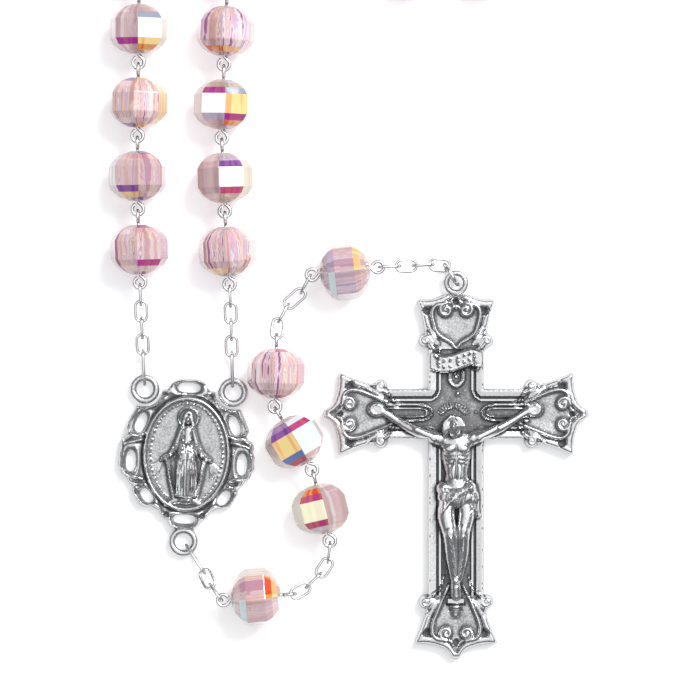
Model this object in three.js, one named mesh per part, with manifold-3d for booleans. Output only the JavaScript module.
// A five-decade rosary of faceted crystal beads on wire eye pins, laid flat.
// Millimetres, +Z up. The origin is the middle of the centre medal's flat back,
// +Y runs up the medal, and everything rests on the plane z = 0.
import * as THREE from "three";
import { mergeVertices } from "three/addons/utils/BufferGeometryUtils.js";
import Module from "manifold-3d";

const wasm = await Module();
wasm.setup();

// Crystal beads
const BEAD_DIAMETER = 8.1; // over the corners of the belt windows
const BEAD_WINDOWS = 7; // facets round the belt
const BEAD_BELT = 2.6; // height of the belt windows
const BEAD_SHOULDER = 0.9; // height of the band above and below the belt
const BEAD_NECK = 0.75; // height of the band next to the cap
const BEAD_CAP = 0.45; // height of the low cone round the hole
const BEAD_LENGTH = BEAD_BELT + 2 * (BEAD_SHOULDER + BEAD_NECK + BEAD_CAP); // along the hole
const BEAD_SHOULDER_DIAMETER = 6.9;
const BEAD_NECK_DIAMETER = 4.9;
const BEAD_CAP_DIAMETER = 2.4;
const BEAD_HOLE = 1.1;

// Wire goods
const PIN_WIRE = 0.5;
const LINK_WIRE = 0.42;
const EYE_RADIUS = 0.78; // centre line of the round eye at each end of a pin
const EYE_REACH = 1.94; // from the bead's end to the far wire of the eye
const LINK_LENGTH = 2.85; // between the wire centres at the two ends
const LINK_RADIUS = 0.84; // centre line of the rounded ends
const WIDE_LINK_LENGTH = 3.4;
const CONNECTOR_LENGTH = 4.75;
const CONNECTOR_RADIUS = 0.98;
const JUMP_RING_DIAMETER = 3.3; // centre line
const JUMP_RING_WIRE = 0.6;
const PLAY = 0.12; // free gap between two hooked wires

// Centre medal
const MEDAL_TURN = -2.1; // degrees
const MEDAL_BODY = 1.6; // thickness of the openwork
const MEDAL_RIM = 2.1; // height of the oval's raised rim
const MEDAL_FLOOR = 1.35; // height of the sunken oval field
const MEDAL_OVAL = [6.0, 7.95]; // half width and half height over the rim
const MEDAL_RIM_WIDTH = 0.5;
const MEDAL_FIGURE = 2.6; // height of the standing figure
const MEDAL_RING_RADIUS = 1.6; // centre line of the three hanging rings
const MEDAL_RING_WIRE = 0.9;
const MEDAL_RING_HEIGHT = 1.12; // centre of the rings above the back
const MEDAL_UPPER_RINGS = [6.08, 8.72];
const MEDAL_LOWER_RING = -12.1;

// Crucifix
const CROSS_THICKNESS = 2.0;
const CROSS_ARM_HALF_WIDTH = 3.45;
const CROSS_POST_HALF_WIDTH = 3.85;
const CROSS_ARM_REACH = 18.3; // from the crossing to the side points
const CROSS_TOP_REACH = 16.5;
const CROSS_FOOT_REACH = 33.8;
const CROSS_FLARE_HALF_WIDTH = 5.5;
const CROSS_FLARE_LENGTH = 8.6;
const CROSS_TOP_FLARE_LENGTH = 7.2;
const BAIL_RADIUS = 1.35;
const BAIL_WIRE = 0.8;
const BAIL_HEIGHT = 1.25;
const BAIL_RISE = 1.5; // from the top of the cross to the middle of the bail

// How the beads lie
const BEAD_LIFT = 0.25; // room under a bead's lowest window for the way it is rolled
const PIN_HEIGHT = (BEAD_DIAMETER / 2) * Math.cos(Math.PI / BEAD_WINDOWS) + BEAD_LIFT;
const CORNER_RADIUS = 9; // corners of the strand's route
const WIRE_SIDES = 6;
const RING_STEPS = 10;
const EYE_STEPS = 8;
const RUN_WIRE = 0.65; // square wire through the beads that are put away in runs

const SILVER = { color: 0xd9dadc, roughness: 0.22, metalness: 1 };
const ANTIQUE = { color: 0xa9aaad, roughness: 0.42, metalness: 1 };
const CRYSTAL = { color: 0xe6bfb8, roughness: 0.05, metalness: 0, transparent: true, opacity: 0.7 };

const rosary = new THREE.Group();

// ---------- solids ----------

function solid(geometry) {
  const bare = geometry.index ? geometry.toNonIndexed() : geometry.clone();
  bare.deleteAttribute("normal");
  bare.deleteAttribute("uv");
  const merged = mergeVertices(bare, 1e-4);
  return new wasm.Manifold(
    new wasm.Mesh({
      numProp: 3,
      vertProperties: new Float32Array(merged.attributes.position.array),
      triVerts: new Uint32Array(merged.index.array),
    }),
  );
}

function geometryOf(body) {
  const mesh = body.getMesh();
  const geometry = new THREE.BufferGeometry();
  geometry.setAttribute("position", new THREE.BufferAttribute(new Float32Array(mesh.vertProperties), 3));
  geometry.setIndex(new THREE.BufferAttribute(new Uint32Array(mesh.triVerts), 1));
  geometry.computeVertexNormals();
  return geometry;
}

function joined(geometries) {
  return geometryOf(geometries.map(solid).reduce((whole, next) => whole.add(next)));
}

function add(name, geometry, finish, matrix = new THREE.Matrix4()) {
  const mesh = new THREE.Mesh(geometry, new THREE.MeshStandardMaterial(finish));
  mesh.name = name;
  mesh.applyMatrix4(matrix);
  rosary.add(mesh);
}

// ---------- wire and bead shapes, each along +X with its middle at the origin ----------

// An oval ring in the XY plane, or stood up in the XZ plane.
function ring(length, radius, wire, upright, steps = RING_STEPS) {
  const geometry = new THREE.TorusGeometry(radius, wire / 2, WIRE_SIDES, steps);
  const position = geometry.attributes.position;
  const stretch = length / 2 - radius;
  for (let i = 0; i < position.count; i++) {
    const x = position.getX(i);
    if (Math.abs(x) > 1e-6) position.setX(i, x + Math.sign(x) * stretch);
  }
  return upright ? geometry.rotateX(Math.PI / 2) : geometry;
}

function rod(length, diameter, sides) {
  return new THREE.CylinderGeometry(diameter / 2, diameter / 2, length, sides).rotateZ(Math.PI / 2);
}

function eye(middleX, upright) {
  return ring(2 * EYE_RADIUS, EYE_RADIUS, PIN_WIRE, upright, EYE_STEPS).translate(middleX, 0, 0);
}

const PIN_TIP = BEAD_LENGTH / 2 + EYE_REACH;
const EYE_MIDDLE = PIN_TIP - EYE_RADIUS;

function pin(startUpright, endUpright) {
  return joined([
    rod(2 * (EYE_MIDDLE - EYE_RADIUS), PIN_WIRE, WIRE_SIDES),
    eye(-EYE_MIDDLE, startUpright),
    eye(EYE_MIDDLE, endUpright),
  ]);
}

// Half outline of a bead from its cap to its belt, as [distance along the hole, radius].
const BEAD_HALF = [
  [BEAD_LENGTH / 2, BEAD_CAP_DIAMETER / 2],
  [BEAD_BELT / 2 + BEAD_SHOULDER + BEAD_NECK, BEAD_NECK_DIAMETER / 2],
  [BEAD_BELT / 2 + BEAD_SHOULDER, BEAD_SHOULDER_DIAMETER / 2],
  [BEAD_BELT / 2, BEAD_DIAMETER / 2],
];

// The same for a bead in a run, with one slope from belt to end.
const PLAIN_HALF = [
  [BEAD_LENGTH / 2, BEAD_NECK_DIAMETER / 2],
  [BEAD_BELT / 2 + BEAD_SHOULDER / 3, BEAD_DIAMETER / 2],
];

function bead(holeRadius, half = BEAD_HALF) {
  const outer = [
    ...half.map(([along, radius]) => new THREE.Vector2(radius, -along)),
    ...half.map(([along, radius]) => new THREE.Vector2(radius, along)).reverse(),
  ];
  const inner = [-BEAD_LENGTH / 2, BEAD_LENGTH / 2].map((along) => new THREE.Vector2(holeRadius, along));
  const profile = [inner[0], ...outer, inner[1]];
  if (holeRadius > 0) profile.push(inner[0].clone());
  return new THREE.LatheGeometry(profile, BEAD_WINDOWS).rotateZ(-Math.PI / 2);
}

// ---------- the strand: what follows what ----------

const UPRIGHT = true;
const FLAT = false;
const link = (upright, length = LINK_LENGTH) => ({
  kind: "link",
  length,
  radius: LINK_RADIUS,
  wire: LINK_WIRE,
  start: upright,
  end: upright,
});
const connector = () => ({ ...link(UPRIGHT, CONNECTOR_LENGTH), radius: CONNECTOR_RADIUS });
const beadPin = (end = UPRIGHT) => ({ kind: "pin", length: 2 * PIN_TIP, wire: PIN_WIRE, start: FLAT, end });
const chain = () => [link(FLAT), link(UPRIGHT), link(FLAT), link(UPRIGHT)];
const beads = (count) => Array.from({ length: count }, () => beadPin());

// How far a flat end reaches past the upright wire that it holds.
const overlap = (a, b) => (a.wire + b.wire) / 2 + PLAY;

// The distance between the upright wires at a member's two ends.
function spans(members) {
  return members.map((member, i) => {
    const before = members[i - 1];
    const after = members[i + 1];
    const startHook = before && member.start === FLAT ? overlap(before, member) : 0;
    const endHook = after && member.end === FLAT ? overlap(member, after) : 0;
    return { ...member, startHook, endHook, span: member.length - startHook - endHook };
  });
}

// A route with rounded corners, as closely spaced points.
function roundedRoute(corners) {
  const path = new THREE.CurvePath();
  let from = corners[0];
  corners.slice(1, -1).forEach((corner, i) => {
    const before = corners[i].clone().sub(corner);
    const after = corners[i + 2].clone().sub(corner);
    const cut = Math.min(CORNER_RADIUS, before.length() / 2, after.length() / 2);
    const enter = corner.clone().add(before.setLength(cut));
    const leave = corner.clone().add(after.setLength(cut));
    path.add(new THREE.LineCurve3(from, enter));
    path.add(new THREE.QuadraticBezierCurve3(enter, corner, leave));
    from = leave;
  });
  path.add(new THREE.LineCurve3(from, corners.at(-1)));
  return path.getSpacedPoints(Math.ceil(path.getLength() * 8));
}

// Straight members are laid end to end along the route, each from one upright wire to the next.
function laidAlong(points, members) {
  let here = points[0].clone();
  let index = 1;
  return spans(members).map((member) => {
    while (index < points.length - 1 && points[index].distanceTo(here) < member.span) index++;
    const toward = points[index].clone().sub(here).normalize();
    const start = here;
    here = start.clone().addScaledVector(toward, member.span);
    return { ...member, from: start, to: here, toward };
  });
}

// The frame of a laid member: X along it, Z as near up as it can be, its middle at the origin.
function placeOf(member, roll = 0) {
  const up = new THREE.Vector3(0, 0, 1);
  const across = up.clone().cross(member.toward).normalize();
  const above = member.toward.clone().cross(across);
  const middle = member.from
    .clone()
    .addScaledVector(member.toward, member.length / 2 - member.startHook);
  return new THREE.Matrix4()
    .makeBasis(member.toward, across, above)
    .setPosition(middle)
    .multiply(new THREE.Matrix4().makeRotationX(THREE.MathUtils.degToRad(roll)));
}

function addLink(name, member) {
  add(name, ring(member.length, member.radius, member.wire, member.start), SILVER, placeOf(member));
}

function addBeadAndPin(name, member, roll) {
  add(`bead_${name}`, bead(BEAD_HOLE / 2), CRYSTAL, placeOf(member, roll));
  add(`pin_${name}`, pin(member.start, member.end), SILVER, placeOf(member));
}

// A square wire through a list of points that lie at one height.
function squareWire(points, width) {
  const up = new THREE.Vector3(0, 0, 1);
  const side = (a, b) => up.clone().cross(b.clone().sub(a).normalize());
  const position = [];
  points.forEach((point, i) => {
    const before = i > 0 ? side(points[i - 1], point) : side(point, points[i + 1]);
    const after = i < points.length - 1 ? side(point, points[i + 1]) : before;
    const mitre = before.clone().add(after).normalize();
    mitre.multiplyScalar(width / 2 / mitre.dot(after));
    for (const [across, height] of [[1, 1], [-1, 1], [-1, -1], [1, -1]]) {
      position.push(...point.clone().addScaledVector(mitre, across).addScaledVector(up, (height * width) / 2));
    }
  });
  const index = [0, 2, 1, 0, 3, 2];
  for (let i = 0; i < points.length - 1; i++) {
    for (let k = 0; k < 4; k++) {
      const a = 4 * i + k;
      const b = 4 * i + ((k + 1) % 4);
      index.push(a, b, b + 4, a, b + 4, a + 4);
    }
  }
  const last = 4 * (points.length - 1);
  index.push(last, last + 1, last + 2, last, last + 2, last + 3);
  const geometry = new THREE.BufferGeometry();
  geometry.setAttribute("position", new THREE.Float32BufferAttribute(position, 3));
  return geometry.setIndex(index);
}

// A stretch of strand put away as one stiff piece: plain beads on a wire, with an eye at the
// start and an eye or a link at the end.
function addRun(name, members) {
  const first = members[0];
  const last = members.at(-1);
  const onPlace = (geometry, member) => geometry.applyMatrix4(placeOf(member));
  const parts = members
    .filter((member) => member.kind === "pin")
    .map((member) => onPlace(bead(0, PLAIN_HALF), member));
  parts.push(onPlace(eye(-EYE_MIDDLE, first.start), first));
  if (last.kind === "pin") parts.push(onPlace(eye(EYE_MIDDLE, last.end), last));
  else parts.push(onPlace(ring(last.length, last.radius, last.wire, last.start), last));
  const eyeEnd = EYE_MIDDLE - EYE_RADIUS;
  const wireStart = new THREE.Vector3(-eyeEnd, 0, 0).applyMatrix4(placeOf(first));
  const wireEnd = last.kind === "pin" ? new THREE.Vector3(eyeEnd, 0, 0).applyMatrix4(placeOf(last)) : last.from;
  const points = [wireStart, ...members.slice(0, -1).map((member) => member.to), wireEnd];
  if (last.kind !== "pin") points.splice(-2, 1);
  parts.push(squareWire(points, RUN_WIRE));
  add(name, joined(parts), CRYSTAL);
}

// ---------- centre medal ----------

function ellipseShape(halfWidth, halfHeight, steps = 32) {
  const shape = new THREE.Shape();
  shape.absellipse(0, 0, halfWidth, halfHeight, 0, 2 * Math.PI);
  return new THREE.Shape(shape.getSpacedPoints(steps).slice(0, -1));
}

function plate(shape, thickness, base = 0) {
  return new THREE.ExtrudeGeometry(shape, { depth: thickness, bevelEnabled: false }).translate(0, 0, base);
}

// Right half of the openwork's outline, from the top down; the left half mirrors it.
const MEDAL_EDGE = [
  [2.1, 10.5],
  [3.1, 9.6],
  [4.4, 8.2],
  [7.1, 7.0],
  [8.7, 3.8],
  [8.6, 2.4],
  [9.3, 1.2],
  [9.3, -1.3],
  [8.4, -3.2],
  [8.0, -4.6],
  [7.4, -6.9],
  [5.6, -8.4],
  [3.2, -9.6],
  [2.0, -10.9],
];

// Openings right of the middle line, as [x, y, half width, half height, turn].
const MEDAL_SIDE_OPENINGS = [
  [6.15, 4.5, 0.85, 1.35, 24],
  [7.6, -1.1, 0.72, 1.35, 0],
  [5.5, -5.9, 0.8, 1.35, -32],
  [3.0, -8.4, 0.45, 0.6, 0],
];
const MEDAL_MIDDLE_OPENINGS = [
  [0, 9.15, 1.55, 0.62, 0],
  [0, -8.95, 0.85, 0.5, 0],
];

function medalRing(x, y) {
  return new THREE.TorusGeometry(MEDAL_RING_RADIUS, MEDAL_RING_WIRE / 2, 7, 16)
    .translate(x, y, MEDAL_RING_HEIGHT);
}

function medal() {
  const mirrored = MEDAL_EDGE.map(([x, y]) => [-x, y]).reverse();
  const edge = [...MEDAL_EDGE, ...mirrored].map(([x, y]) => new THREE.Vector2(x, y));
  let body = solid(plate(new THREE.Shape(edge), MEDAL_BODY));
  const openings = [
    ...MEDAL_MIDDLE_OPENINGS,
    ...MEDAL_SIDE_OPENINGS,
    ...MEDAL_SIDE_OPENINGS.map(([x, y, w, h, turn]) => [-x, y, w, h, -turn]),
  ];
  for (const [x, y, halfWidth, halfHeight, turn] of openings) {
    const hole = plate(ellipseShape(halfWidth, halfHeight, 12), MEDAL_BODY + 2, -1);
    body = body.subtract(solid(hole.rotateZ(THREE.MathUtils.degToRad(turn)).translate(x, y, 0)));
  }
  const [halfWidth, halfHeight] = MEDAL_OVAL;
  body = body.add(solid(plate(ellipseShape(halfWidth, halfHeight), MEDAL_RIM)));
  const field = ellipseShape(halfWidth - MEDAL_RIM_WIDTH, halfHeight - MEDAL_RIM_WIDTH);
  body = body.subtract(solid(plate(field, MEDAL_RIM, MEDAL_FLOOR)));
  const [ringX, ringY] = MEDAL_UPPER_RINGS;
  for (const x of [-ringX, ringX]) {
    const hole = new THREE.CylinderGeometry(MEDAL_RING_RADIUS, MEDAL_RING_RADIUS, 6, 16)
      .rotateX(Math.PI / 2).translate(x, ringY, 0);
    body = body.subtract(solid(hole)).add(solid(medalRing(x, ringY)));
  }
  body = body.add(solid(medalRing(0, MEDAL_LOWER_RING)));
  for (const [y, size, height] of [[4.1, 1.0, 2.2], [0.2, 1.75, MEDAL_FIGURE], [-3.9, 1.5, 2.3]]) {
    const lump = new THREE.SphereGeometry(1, 10, 6).rotateX(Math.PI / 2)
      .scale(size, size * 1.55, height - 1).translate(0, y, 1);
    body = body.add(solid(lump));
  }
  // Nothing reaches below the flat back.
  const under = new THREE.BoxGeometry(60, 60, 4).translate(0, 0, -2);
  return geometryOf(body.subtract(solid(under)));
}

// ---------- crucifix ----------

// Half outline of a flared end, as [distance from the crossing, half width].
function flare(reach, length, halfWidth) {
  const start = reach - length;
  const wide = CROSS_FLARE_HALF_WIDTH;
  return [
    [start, halfWidth],
    [start + 0.35, halfWidth + 0.75],
    [start + 1.1, halfWidth + 1.0],
    [start + 1.9, halfWidth + 0.55],
    [start + 3.0, wide - 1.0],
    [start + 4.6, wide - 0.7],
    [reach - 2.6, wide],
    [reach - 2.0, wide - 0.2],
    [reach - 2.1, wide - 1.6],
    [reach - 1.2, 2.5],
    [reach - 0.7, 1.2],
    [reach, 0],
  ];
}

function crossOutline() {
  const point = (along, side, turn) =>
    new THREE.Vector2(side, along).rotateAround(new THREE.Vector2(), turn);
  const ends = [
    [CROSS_TOP_REACH, CROSS_TOP_FLARE_LENGTH, CROSS_POST_HALF_WIDTH, 0],
    [CROSS_ARM_REACH, CROSS_FLARE_LENGTH, CROSS_ARM_HALF_WIDTH, -Math.PI / 2],
    [CROSS_FOOT_REACH, CROSS_FLARE_LENGTH, CROSS_POST_HALF_WIDTH, Math.PI],
    [CROSS_ARM_REACH, CROSS_FLARE_LENGTH, CROSS_ARM_HALF_WIDTH, Math.PI / 2],
  ];
  return ends.flatMap(([reach, length, halfWidth, turn]) => {
    const half = flare(reach, length, halfWidth);
    const left = half.map(([along, side]) => point(along, -side, turn));
    const right = half.slice(0, -1).reverse().map(([along, side]) => point(along, side, turn));
    const inner = halfWidth === CROSS_POST_HALF_WIDTH ? CROSS_ARM_HALF_WIDTH : CROSS_POST_HALF_WIDTH;
    return [...left, ...right, point(inner, halfWidth, turn)];
  });
}

// A rounded limb of the figure from one point to another.
function limb(from, to, fromRadius, toRadius) {
  const a = new THREE.Vector3(...from);
  const b = new THREE.Vector3(...to);
  const along = b.clone().sub(a);
  const geometry = new THREE.CylinderGeometry(toRadius, fromRadius, along.length(), 8);
  geometry.applyQuaternion(
    new THREE.Quaternion().setFromUnitVectors(new THREE.Vector3(0, 1, 0), along.clone().normalize()),
  );
  return geometry.translate(...a.add(b).multiplyScalar(0.5));
}

function figure() {
  const head = new THREE.SphereGeometry(1.2, 10, 8).scale(0.9, 1.2, 1).translate(-0.5, -1.4, 3.7);
  return [
    head,
    limb([-0.1, -2.6, 3.2], [0.1, -11.0, 3.2], 1.7, 1.3),
    limb([-2.0, -3.0, 3.2], [-10.6, 0.6, 2.5], 0.75, 0.55),
    limb([2.0, -3.0, 3.2], [10.4, 0.4, 2.5], 0.75, 0.55),
    limb([0.1, -9.8, 3.0], [0.2, -13.0, 3.2], 1.9, 1.7),
    limb([0.1, -12.6, 3.2], [0.6, -17.6, 3.9], 1.5, 1.0),
    limb([0.6, -17.4, 3.9], [-0.2, -24.4, 2.6], 1.0, 0.7),
  ];
}

function crucifix() {
  const outline = new THREE.Shape(crossOutline());
  let body = solid(plate(outline, CROSS_THICKNESS));
  const bailY = CROSS_TOP_REACH + BAIL_RISE;
  const bail = new THREE.TorusGeometry(BAIL_RADIUS, BAIL_WIRE / 2, 8, 18).translate(0, bailY, BAIL_HEIGHT);
  body = body.add(solid(bail));
  for (const part of figure()) body = body.add(solid(part));
  const under = new THREE.BoxGeometry(90, 90, 4).translate(0, 0, -2);
  return geometryOf(body.subtract(solid(under)));
}

// ---------- assembly ----------

const turned = new THREE.Matrix4().makeRotationZ(THREE.MathUtils.degToRad(MEDAL_TURN));
const onMedal = (x, y) => new THREE.Vector3(x, y, MEDAL_RING_HEIGHT).applyMatrix4(turned);
add("center_medal", medal(), ANTIQUE, turned);

// A connector's upright wire inside a medal ring, towards a heading in degrees.
function hookedInRing(x, y, heading, slack) {
  const inward = MEDAL_RING_RADIUS - (MEDAL_RING_WIRE + LINK_WIRE) / 2 - PLAY - slack;
  const angle = THREE.MathUtils.degToRad(heading);
  return onMedal(x, y).add(new THREE.Vector3(Math.cos(angle), Math.sin(angle), 0).multiplyScalar(inward));
}

const v = (x, y, z = PIN_HEIGHT) => new THREE.Vector3(x, y, z);

// The two strands of the loop, from the medal's upper rings: five links, then beads.
// The four beads nearest the medal are separate; the rest is laid beside them in runs.
const STRANDS = [
  {
    side: "left",
    route: [
      hookedInRing(-MEDAL_UPPER_RINGS[0], MEDAL_UPPER_RINGS[1], 92, 0.2),
      v(-6.3, 23.4),
      v(-6.7, 38),
      v(-6.4, 60),
      v(-6.5, 148.5),
      v(57, 148.5),
      v(57, 67.5),
      v(17, 67.5),
      v(17, 126.8),
      v(29.5, 126.8),
      v(29.5, 118),
    ],
    rolls: [0, 6, -5, 3],
    runs: [
      [...beads(6), ...chain()],
      [beadPin(), ...chain(), ...beads(4)],
      [...beads(6), ...chain()],
      [beadPin(), ...chain(), ...beads(10), ...chain()],
    ],
  },
  {
    side: "right",
    route: [
      hookedInRing(MEDAL_UPPER_RINGS[0], MEDAL_UPPER_RINGS[1], 94, 0),
      v(6.1, 23),
      v(5.0, 38),
      v(4.9, 48.5),
      v(5.7, 60),
      v(5.5, 137.5),
      v(46, 137.5),
      v(46, 78.5),
      v(28.5, 78.5),
      v(28.5, 126.8),
    ],
    rolls: [0, -7, 7, -3],
    runs: [
      [...beads(6), ...chain()],
      [beadPin(), ...chain(), ...beads(10), ...chain(), beadPin()],
    ],
  },
];

for (const { side, route, rolls, runs } of STRANDS) {
  const near = [connector(), ...chain(), ...beads(rolls.length)];
  const laid = laidAlong(roundedRoute(route), [...near, ...runs.flat()]);
  laid.slice(0, 5).forEach((member, i) => addLink(`link_${side}_${i + 1}`, member));
  rolls.forEach((roll, i) => addBeadAndPin(`${side}_${i + 1}`, laid[5 + i], roll));
  let next = near.length;
  runs.forEach((run, i) => {
    addRun(`run_${side}_${i + 1}`, laid.slice(next, next + run.length));
    next += run.length;
  });
}

// The drop: medal, chain, bead, chain, three beads, chain, bead, chain, jump ring, crucifix.
const DROP_ROUTE = [
  hookedInRing(0, MEDAL_LOWER_RING, -50, 0.2),
  v(1.8, -14.8, 1.6),
  v(2.9, -17.1, 2.6),
  v(5.1, -20.1),
  v(15.1, -19.1),
  v(17.2, -17.6, 3.3),
  v(19.4, -15.0, 3.3),
  v(19.8, -11.9),
  v(17.3, -2.0),
  v(12.1, 6.8),
  v(12.5, 16.8),
  v(13.2, 19.6, 3.2),
  v(16.2, 22.6, 3.2),
  v(17.5, 25.0),
  v(27.0, 25.7),
  v(32.0, 25.9, 3.2),
  v(35.9, 25.8, 2.7),
  v(37.4, 23.0, 1.1),
  v(38.3, 21.2, 0.1),
];
const DROP_ROLLS = [2, 8, 6, -2, 0];
const DROP_MEMBERS = [
  connector(),
  link(FLAT),
  link(UPRIGHT),
  beadPin(),
  ...chain(),
  ...beads(3),
  link(FLAT),
  link(UPRIGHT),
  link(FLAT, WIDE_LINK_LENGTH),
  link(UPRIGHT),
  beadPin(FLAT),
  link(UPRIGHT),
  link(FLAT),
  link(UPRIGHT),
  link(FLAT),
  {
    kind: "jump",
    length: JUMP_RING_DIAMETER,
    radius: JUMP_RING_DIAMETER / 2,
    wire: JUMP_RING_WIRE,
    start: UPRIGHT,
    end: UPRIGHT,
  },
];

const dropPoints = new THREE.CatmullRomCurve3(DROP_ROUTE, false, "centripetal").getSpacedPoints(900);
const drop = laidAlong(dropPoints, DROP_MEMBERS);
const numbered = { link: 0, pin: 0 };
for (const member of drop) {
  if (member.kind === "pin") {
    addBeadAndPin(`drop_${numbered.pin + 1}`, member, DROP_ROLLS[numbered.pin]);
    numbered.pin += 1;
  } else if (member.kind === "link") {
    numbered.link += 1;
    addLink(`link_drop_${numbered.link}`, member);
  } else {
    addLink("jump_ring", member);
  }
}

const BAIL_SLACK = [-0.1, 0.1]; // from the jump ring's wire to the middle of the bail
const hung = drop.at(-1).to;
const crossing = new THREE.Vector3(
  hung.x + BAIL_SLACK[0],
  hung.y + BAIL_SLACK[1] - CROSS_TOP_REACH - BAIL_RISE,
  0,
);
add("crucifix", crucifix(), ANTIQUE, new THREE.Matrix4().setPosition(crossing));

export default rosary;
